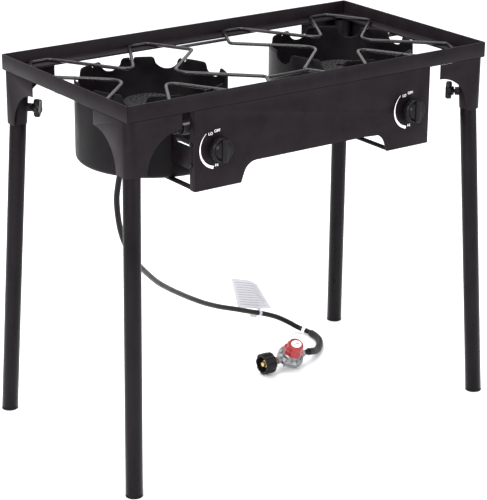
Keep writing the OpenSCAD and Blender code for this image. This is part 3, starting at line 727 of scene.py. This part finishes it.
def make_regulator():
    """Cast body with a flange and rod, bonnet, red knob with a white disc, and the tank nut."""
    place = Matrix.Translation(REG_AT) @ Matrix.Rotation(REG_LEAN, 4, "X")
    sideways = Matrix.Translation(REG_AT) @ Matrix.Rotation(math.pi / 2, 4, "Y")
    bm = bmesh.new()
    lathe(bm, [(0, -0.0149), (0.0130, -0.0149), (0.0148, -0.0145), (0.0165, -0.0128), (0.0198, -0.0108),
               (0.0212, -0.0085), (0.0218, -0.0058), (0.0225, -0.0046), (0.0270, -0.0040), (0.0277, -0.0034),
               (0.0279, -0.0026), (0.0279, 0.0010), (0.0275, 0.0017), (0.0268, 0.0019), (0, 0.0019)],
          90, place)
    for k in range(6):
        turn = place @ Matrix.Rotation(math.radians(30 + 60 * k), 4, "Z")
        lathe(bm, [(0, -0.0062), (0.0026, -0.0062), (0.0029, -0.0058), (0.0029, -0.0036), (0, -0.0036)],
              6, turn @ Matrix.Translation((0.0246, 0, 0)))
        block(bm, (0.0150, -0.0010, -0.0140), (0.0222, 0.0010, -0.0040), turn, 0.0005)
    lathe(bm, [(0, -0.0349), (0.0068, -0.0349), (0.0079, -0.0338), (0.0079, -0.0290), (0.0071, -0.0282),
               (0.0071, 0.0282), (0.0079, 0.0290), (0.0079, 0.0340), (0.0068, 0.0353), (0, 0.0353)],
          40, sideways)
    body = add_piece("regulator_body_piece", to_mesh("regulator_body_piece", bm, 35), "cast_zinc",
                     "frame", ["regulator_body"])
    bm = bmesh.new()
    lathe(bm, [(0, 0.0021), (0.0262, 0.0021), (0.0272, 0.0025), (0.0274, 0.0032), (0.0274, 0.0050),
               (0.0268, 0.0057), (0.0225, 0.0070), (0.0213, 0.0082), (0.0208, 0.0100), (0.0200, 0.0136),
               (0.0190, 0.0150), (0.0182, 0.0156), (0.0176, 0.0166), (0.0168, 0.0170), (0, 0.0170)],
          90, place)
    for k in range(12):
        turn = place @ Matrix.Rotation(math.radians(30 * k), 4, "Z")
        block(bm, (0.0186, -0.0009, 0.0060), (0.0226, 0.0009, 0.0140), turn, 0.0005)
    for k in range(6):
        turn = place @ Matrix.Rotation(math.radians(30 + 60 * k), 4, "Z")
        lathe(bm, [(0, 0.0050), (0.0024, 0.0050), (0.0024, 0.0072), (0.0018, 0.0080), (0, 0.0081)],
              20, turn @ Matrix.Translation((0.0246, 0, 0)))
    bonnet = add_piece("regulator_bonnet_piece", to_mesh("regulator_bonnet_piece", bm, 35), "cast_zinc",
                       "frame", ["regulator_bonnet"])
    bm = bmesh.new()
    base = 0.0174
    lathe(bm, [(0, base), (0.0196, base, 0.8), (0.0214, base + 0.0007, 1), (0.0219, base + 0.0020, 1),
               (0.0218, base + 0.0092, 1), (0.0210, base + 0.0112, 1), (0.0194, base + 0.0124, 0.8),
               (0.0182, base + 0.0150, 0.4), (0.0170, base + 0.0205, 0.2), (0.0160, base + 0.0232, 0.1),
               (0.0148, base + 0.0246), (0.0128, base + 0.0248), (0.0120, base + 0.0240), (0, base + 0.0240)],
          120, place, lobes(8, 0.12, 1.1))
    knob_mesh = to_mesh("regulator_knob_piece", bm, 35)
    disc = bmesh.new()
    oval = Matrix.Diagonal((1, 0.8, 1, 1))
    lathe(disc, [(0, base + 0.0236), (0.0117, base + 0.0236), (0.0117, base + 0.0243),
                 (0.0110, base + 0.0247), (0, base + 0.0248)], 60, place @ oval)
    # A plain grey bar in place of the disc's print
    bar = bmesh.new()
    block(bar, (-0.0062, -0.0012, base + 0.0246), (0.0062, 0.0012, base + 0.02492), place, 0.00002, 1)
    knob = add_piece("regulator_knob_piece", knob_mesh, "red_plastic", "pressure_knob", ["regulator_knob"])
    plate = add_piece("regulator_knob_disc", to_mesh("regulator_knob_disc", disc, 35), "white_print",
                      "pressure_knob")
    mark = add_piece("regulator_knob_mark", to_mesh("regulator_knob_mark", bar, 35), "cast_zinc",
                     "pressure_knob")
    # Tank nut with finger grooves
    nut_at = Matrix.Translation(REG_AT + Vector((-0.074, 0, 0))) @ Matrix.Rotation(math.pi / 2, 4, "Y")
    bm = bmesh.new()
    lathe(bm, [(0.0165, 0.0004), (0.0200, 0.0002, 0.5), (0.0219, 0.0010, 1), (0.0228, 0.0028, 1),
               (0.0229, 0.0060, 1), (0.0229, 0.0205, 1), (0.0222, 0.0235, 0.9), (0.0200, 0.0262, 0.6),
               (0.0172, 0.0280, 0.2), (0.0150, 0.0293), (0.0095, 0.0299), (0.0085, 0.0296),
               (0.0085, 0.0212), (0.0162, 0.0210), (0.0165, 0.0206), (0.0165, 0.0140), (0.0160, 0.0134),
               (0.0165, 0.0128), (0.0165, 0.0090), (0.0160, 0.0084), (0.0165, 0.0078)],
          120, nut_at, lobes(8, 0.13, 2.2), closed=True)
    nut = add_piece("tank_nut_piece", to_mesh("tank_nut_piece", bm, 35), "nut_plastic", "tank_nut",
                    ["tank_nut"])
    return [body, bonnet, knob, plate, mark, nut]


# ---- All the pieces ----

hose, sleeve, hose_path, hose_length = make_hose()
tie = make_tie()
tag, tag_strip = make_tag()
for side in SIDES:
    make_shield(side)
    make_grate(side)
    make_control_knob(side)
for corner in CORNERS:
    make_thumb_screw(corner)
make_dials()
regulator = make_regulator()

# Every other part keeps its CAD shape, with rounded edges of these widths
WIDTHS = {"front_panel": 0.0011, "front_rail": 0.0013, "rear_rail": 0.0013, "left_rail": 0.0013,
          "right_rail": 0.0013, "panel_screws": 0.0003, "valve_stem_left": 0.0003,
          "valve_stem_right": 0.0003, "air_shutter_left": 0.0004, "air_shutter_right": 0.0004,
          "burner_head_left": 0.0006, "burner_head_right": 0.0006}
for node, cad in frame["nodes"].items():
    if not cad.hide_render:
        finish_node(node, WIDTHS.get(node, 0.0007))


# ---- Floor and light ----

FLOOR_HALF = 14


def make_floor():
    """Plain pale floor, far wider than the object."""
    mesh = bpy.data.meshes.new("floor")
    corners = [(sx * FLOOR_HALF, sy * FLOOR_HALF, 0) for sx, sy in ((-1, -1), (1, -1), (1, 1), (-1, 1))]
    mesh.from_pydata(corners, [], [(0, 1, 2, 3)])
    floor = bpy.data.objects.new("floor", mesh)
    bpy.context.scene.collection.objects.link(floor)
    mat = finish("floor", (0.86, 0.86, 0.865), 0.7, grain=60, bump=0.02, blotch=0.015, blotch_scale=3)
    mesh.materials.append(mat)


def area_light(name, at, aim, size, watts):
    """Soft rectangular white lamp that points at aim."""
    data = bpy.data.lights.new(name, "AREA")
    data.shape = "RECTANGLE"
    data.size, data.size_y = size
    data.energy = watts
    lamp = bpy.data.objects.new(name, data)
    lamp.location = at
    lamp.rotation_euler = (Vector(aim) - Vector(at)).to_track_quat("-Z", "Y").to_euler()
    bpy.context.scene.collection.objects.link(lamp)


make_floor()
area_light("key", (-3.2, -1.6, 2.4), (0, 0, 0.45), (2.2, 1.8), 170)
area_light("fill", (1.8, -3.6, 1.6), (0, 0, 0.4), (2.4, 1.6), 50)
area_light("top", (0.2, 0.6, 3.2), (0, 0, 0.6), (2.6, 2.0), 95)
world = bpy.data.worlds.new("world")
bpy.context.scene.world = world
world.use_nodes = True
world.node_tree.nodes["Background"].inputs["Color"].default_value = (0.97, 0.975, 0.985, 1)
world.node_tree.nodes["Background"].inputs["Strength"].default_value = 1.15
